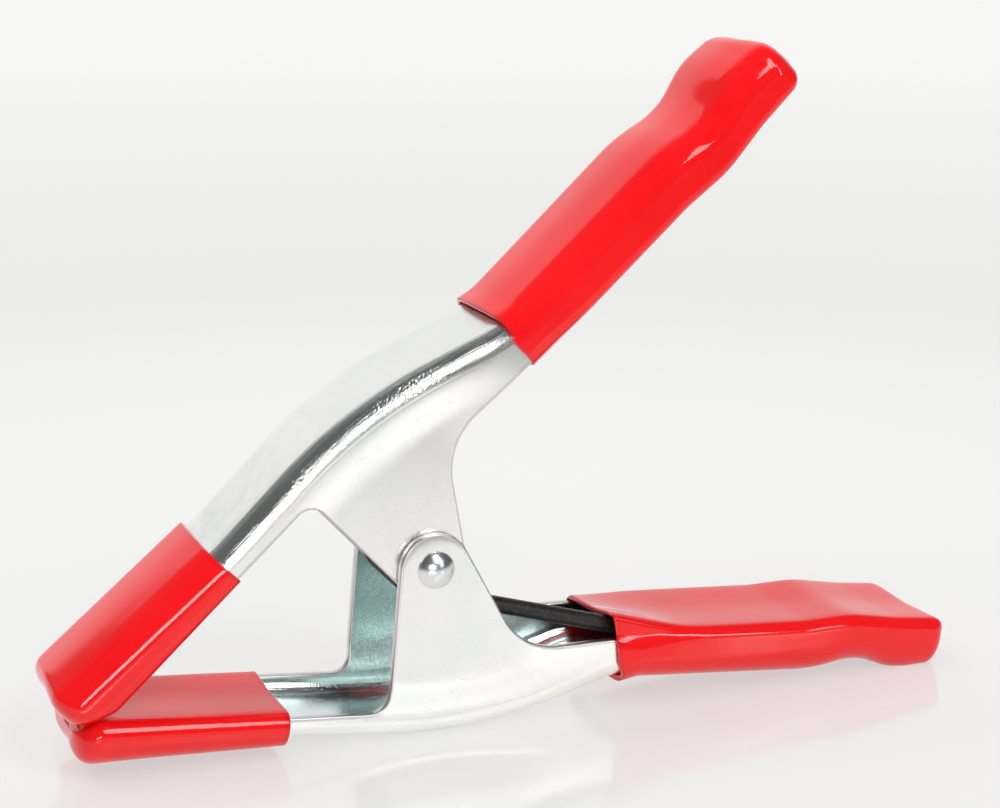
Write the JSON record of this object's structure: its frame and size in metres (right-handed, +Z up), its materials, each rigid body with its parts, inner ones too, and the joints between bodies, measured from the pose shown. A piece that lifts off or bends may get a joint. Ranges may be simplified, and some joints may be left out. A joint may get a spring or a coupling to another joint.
{
  "type": "spring clamp",
  "caption": "Steel spring clamp with channel-section arms on a riveted pivot, a torsion spring, dipped vinyl jaw covers and handle grips",
  "frame": {"origin": "centre of the bounding box on the surface that the clamp rests on", "axes": "+X from the jaws to the handles along the bench, +Y along the pivot, +Z up"},
  "size_m": [0.2142, 0.0362, 0.1484],
  "materials": {
    "plated_steel": "zinc-plated pressed sheet, softly brushed",
    "rivet_steel": "bright plated steel with fine scratches",
    "spring_wire": "black oil-tempered wire, lightly scratched",
    "red_vinyl": "glossy dipped vinyl"
  },
  "bodies": {
    "lower_clamp": {"lower_arm": "plated_steel", "pivot_rivet": "rivet_steel", "torsion_spring": "spring_wire", "lower_jaw_cover": "red_vinyl", "lower_grip": "red_vinyl"},
    "upper_clamp": {"upper_arm": "plated_steel", "upper_jaw_cover": "red_vinyl", "upper_grip": "red_vinyl"}
  },
  "joints": [
    {"name": "jaw_hinge", "type": "hinge", "parent": "lower_clamp", "child": "upper_clamp", "pos_m": [-0.02479, 0, 0.03895], "axis": [0, 1, 0], "range_deg": [0, 55], "stiffness_Nm_per_rad": 8.8, "springref_deg": -22.92, "deforming": ["torsion_spring"]}
  ]
}
